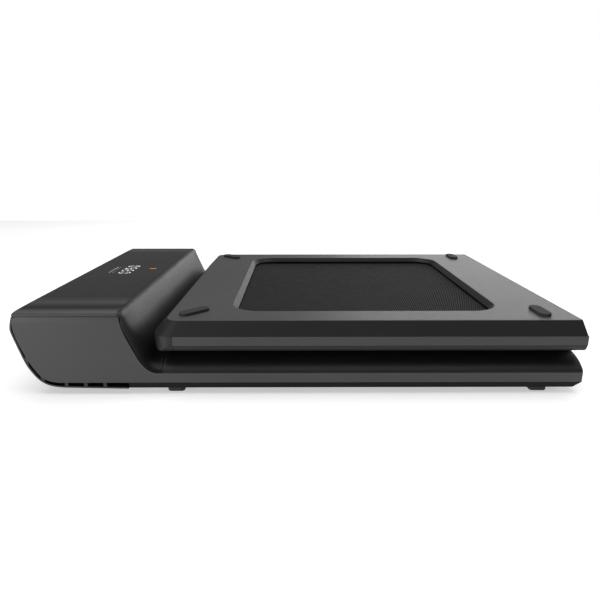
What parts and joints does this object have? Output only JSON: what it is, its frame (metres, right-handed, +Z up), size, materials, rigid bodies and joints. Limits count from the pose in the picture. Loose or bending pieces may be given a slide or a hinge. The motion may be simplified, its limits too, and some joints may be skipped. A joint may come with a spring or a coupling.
{
  "type": "folding treadmill",
  "caption": "Low folding walking treadmill with a wedge-fronted motor housing; the rear half of the deck lies upside down on the front half.",
  "frame": {"origin": "on the floor under the middle of the folded machine", "axes": "+X from the motor housing to the fold, +Y across the width, +Z up"},
  "size_m": [0.832, 0.547, 0.1272],
  "materials": {
    "side_plastic": "fine satin grain",
    "rail_plastic": "satin",
    "top_plastic": "satin top panel",
    "base_plastic": "textured",
    "panel_plastic": "satin grain",
    "smoked_window": "smoked",
    "circuit_board": "lacquered board",
    "rubber": "matte",
    "frame_paint": "powder coat",
    "steel": "ground",
    "hinge_steel": "black zinc",
    "aluminium": "cast",
    "motor_paint": "black paint",
    "deck_board": "waxed board",
    "belt": "fine lozenge weave",
    "fitting_plastic": "moulded",
    "rocker_plastic": "moulded",
    "reset_plastic": "moulded"
  },
  "bodies": {
    "front_half": {"side_cover_left": "side_plastic", "side_cover_right": "side_plastic", "front_footrails": "rail_plastic", "housing_top_cover": "top_plastic", "display_window": "smoked_window", "display_board": "circuit_board", "ramp_cover": "rail_plastic", "bumper_cover": "base_plastic", "front_bottom_plate": "base_plastic", "bottom_screws": "steel", "front_feet": "rubber", "fold_end_caps_front": "rail_plastic", "front_frame_rails": "frame_paint", "front_crossmembers": "frame_paint", "front_board_cushions": "rubber", "running_board_front": "deck_board", "drive_roller_bearings": "steel", "roller_bearing_blocks": "steel", "belt_front": "belt", "belt_fold": "belt", "drive_belt": "rubber", "motor_case": "motor_paint", "motor_end_bells": "aluminium", "motor_stator": "steel", "motor_bearings": "steel", "motor_mount": "frame_paint", "controller_heat_sink": "aluminium", "controller_board": "circuit_board", "power_inlet": "fitting_plastic", "switch_housing": "fitting_plastic", "reset_body": "fitting_plastic", "wheel_axles": "steel", "hinge_leaves_front": "hinge_steel", "hinge_pins": "steel"},
    "rear_half": {"rear_bottom_panel": "panel_plastic", "rear_feet": "rubber", "rear_footrails": "rail_plastic", "rear_side_bands": "side_plastic", "rear_end_cap": "rail_plastic", "fold_end_caps_rear": "rail_plastic", "rear_frame_rails": "frame_paint", "rear_crossmembers": "frame_paint", "rear_board_cushions": "rubber", "running_board_rear": "deck_board", "belt_rear": "belt", "rear_roller_axle": "steel", "tension_bolts": "steel", "hinge_leaves_rear": "hinge_steel"},
    "drive_roller": {"drive_roller": "steel", "drive_pulley": "aluminium"},
    "rear_roller": {"rear_roller_tube": "steel", "rear_roller_bearings": "steel"},
    "motor_rotor": {"motor_rotor": "steel", "motor_pulley": "aluminium"},
    "idler_front": {"idler_front": "steel"},
    "idler_rear": {"idler_rear": "steel"},
    "wheel_left": {"transport_wheel_left": "rubber"},
    "wheel_right": {"transport_wheel_right": "rubber"},
    "power_rocker": {"power_rocker": "rocker_plastic"},
    "reset_button": {"reset_button": "reset_plastic"}
  },
  "joints": [
    {"name": "fold", "type": "hinge", "parent": "front_half", "child": "rear_half", "pos_m": [0.4055, 0, 0.0574], "axis": [0, 1, 0], "range_deg": [0, 180], "deforming": ["belt_fold"]},
    {"name": "drive_roller_spin", "type": "hinge", "parent": "front_half", "child": "drive_roller", "pos_m": [-0.242, 0, 0.03425], "axis": [0, 1, 0], "continuous": true},
    {"name": "rear_roller_spin", "type": "hinge", "parent": "rear_half", "child": "rear_roller", "pos_m": [-0.183, 0, 0.08055], "axis": [0, 1, 0], "continuous": true},
    {"name": "motor_spin", "type": "hinge", "parent": "front_half", "child": "motor_rotor", "pos_m": [-0.331, 0, 0.072], "axis": [0, 1, 0], "continuous": true},
    {"name": "front_idler_spin", "type": "hinge", "parent": "front_half", "child": "idler_front", "pos_m": [0.395, 0, 0.0255], "axis": [0, 1, 0], "continuous": true},
    {"name": "rear_idler_spin", "type": "hinge", "parent": "rear_half", "child": "idler_rear", "pos_m": [0.395, 0, 0.0893], "axis": [0, 1, 0], "continuous": true},
    {"name": "wheel_left_spin", "type": "hinge", "parent": "front_half", "child": "wheel_left", "pos_m": [-0.372, -0.228, 0.024], "axis": [0, 1, 0], "continuous": true},
    {"name": "wheel_right_spin", "type": "hinge", "parent": "front_half", "child": "wheel_right", "pos_m": [-0.372, 0.228, 0.024], "axis": [0, 1, 0], "continuous": true},
    {"name": "rocker_tilt", "type": "hinge", "parent": "front_half", "child": "power_rocker", "pos_m": [-0.39, -0.146, 0.063], "axis": [0, 1, 0], "range_deg": [0, 20]},
    {"name": "reset_press", "type": "slide", "parent": "front_half", "child": "reset_button", "axis": [1, 0, 0], "range_m": [0, 0.003], "stiffness_N_per_m": 800, "springref_m": -0.002}
  ],
  "couplings": [
    {"joint": "rear_roller_spin", "follows": "drive_roller_spin", "ratio": 1},
    {"joint": "front_idler_spin", "follows": "drive_roller_spin", "ratio": 2.2055},
    {"joint": "rear_idler_spin", "follows": "drive_roller_spin", "ratio": 2.2055},
    {"joint": "motor_spin", "follows": "drive_roller_spin", "ratio": 2.5}
  ]
}
